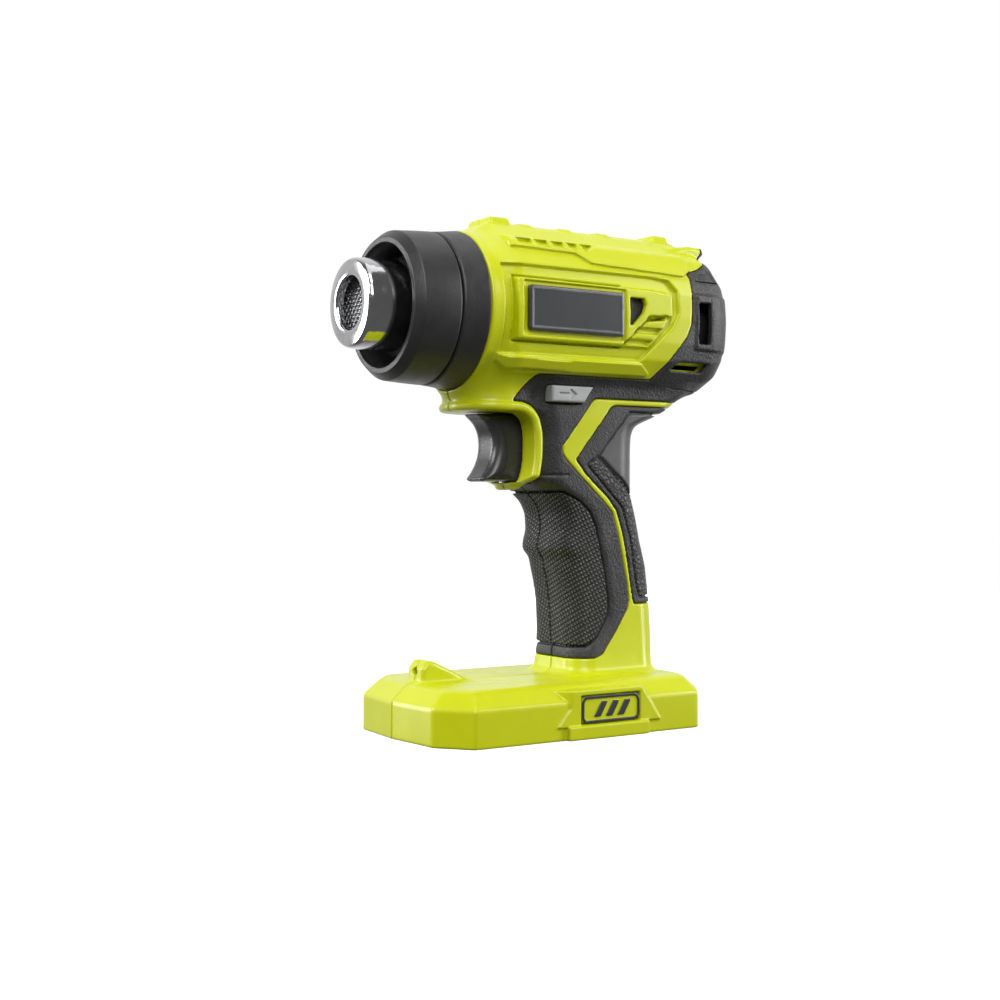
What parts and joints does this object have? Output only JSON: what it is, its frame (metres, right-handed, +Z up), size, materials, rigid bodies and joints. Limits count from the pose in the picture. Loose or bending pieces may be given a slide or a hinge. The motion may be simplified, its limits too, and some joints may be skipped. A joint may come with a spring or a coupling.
{
  "type": "cordless heat gun",
  "caption": "Battery-platform hot-air gun: pistol clamshell housing, chromed outlet nozzle in a black shroud, sliding trigger, cross lock-off button, fan and heater inside.",
  "frame": {"origin": "centre of the bounding box's base, on the surface the foot stands on", "axes": "+Z up, the nozzle points to -Y, the tool's left side (where the lock-off button stands out at rest) faces +X"},
  "size_m": [0.0804, 0.167, 0.202],
  "materials": {
    "housing": "satin lime-green moulded ABS",
    "soft_grip": "charcoal pebble-textured soft overmould",
    "rear_cap": "charcoal pebble-textured moulding",
    "shroud": "satin black heat-resistant nylon",
    "nozzle": "polished chromed steel, slightly heat-tinted",
    "steel_parts": "plain steel",
    "heat_sink": "plain aluminium",
    "plate": "dark grey satin plate with no lettering",
    "trigger": "dark satin plastic",
    "lock": "silver-grey plastic",
    "black_plastic": "black moulded plastic",
    "duct": "cream heat-resistant plastic",
    "mica": "mica sheet",
    "ceramic": "unglazed ceramic",
    "element": "oxidised resistance wire",
    "copper": "copper windings",
    "brass": "brass",
    "board": "green circuit board",
    "red_wire": "red silicone-sleeved wire",
    "black_wire": "black silicone-sleeved wire"
  },
  "bodies": {
    "root": {"air_duct": "duct", "battery_blade_negative": "brass", "battery_blade_positive": "brass", "battery_blade_sense": "brass", "battery_lead_negative": "black_wire", "battery_lead_positive": "red_wire", "battery_terminal_block": "black_plastic", "board_heat_sink": "heat_sink", "control_board": "board", "heater_coil": "element", "heater_flange": "ceramic", "heater_former": "mica", "heater_lead_live": "red_wire", "heater_lead_return": "black_wire", "heater_sleeve": "mica", "housing_screw_body_front": "steel_parts", "housing_screw_body_rear": "steel_parts", "housing_screw_chin": "steel_parts", "housing_screw_foot_front": "steel_parts", "housing_screw_foot_rear": "steel_parts", "housing_screw_grip_middle": "steel_parts", "housing_screw_grip_top": "steel_parts", "inlet_screen": "black_plastic", "left_foot_badge": "plate", "left_front_grip_skin": "soft_grip", "left_housing": "housing", "left_name_plate": "plate", "left_rear_grip_skin": "soft_grip", "motor_can": "steel_parts", "motor_end_cap": "black_plastic", "motor_front_bush": "brass", "motor_lead_negative": "black_wire", "motor_lead_positive": "red_wire", "motor_mount": "black_plastic", "motor_rear_bush": "brass", "nozzle_tube": "nozzle", "outlet_screen": "steel_parts", "rear_cap": "rear_cap", "right_foot_badge": "plate", "right_front_grip_skin": "soft_grip", "right_housing": "housing", "right_name_plate": "plate", "right_rear_grip_skin": "soft_grip", "shroud_front": "shroud", "shroud_rear": "shroud", "switch_module": "black_plastic", "thermal_cutout": "steel_parts", "trigger_spring": "steel_parts"},
    "trigger": {"trigger": "trigger", "switch_plunger": "black_plastic"},
    "lock": {"lock_off_button": "lock"},
    "rotor": {"motor_shaft": "steel_parts", "motor_rotor": "copper", "motor_commutator": "copper", "impeller": "black_plastic"}
  },
  "joints": [
    {"name": "trigger_pull", "type": "slide", "parent": "root", "child": "trigger", "axis": [0, 1, 0], "range_m": [0, 0.005], "stiffness_N_per_m": 800, "deforming": ["trigger_spring"]},
    {"name": "lock_off_slide", "type": "slide", "parent": "root", "child": "lock", "axis": [-1, 0, 0], "range_m": [0, 0.005]},
    {"name": "rotor_spin", "type": "hinge", "parent": "root", "child": "rotor", "pos_m": [0, 0, 0.1654], "axis": [0, -1, 0], "continuous": true}
  ]
}
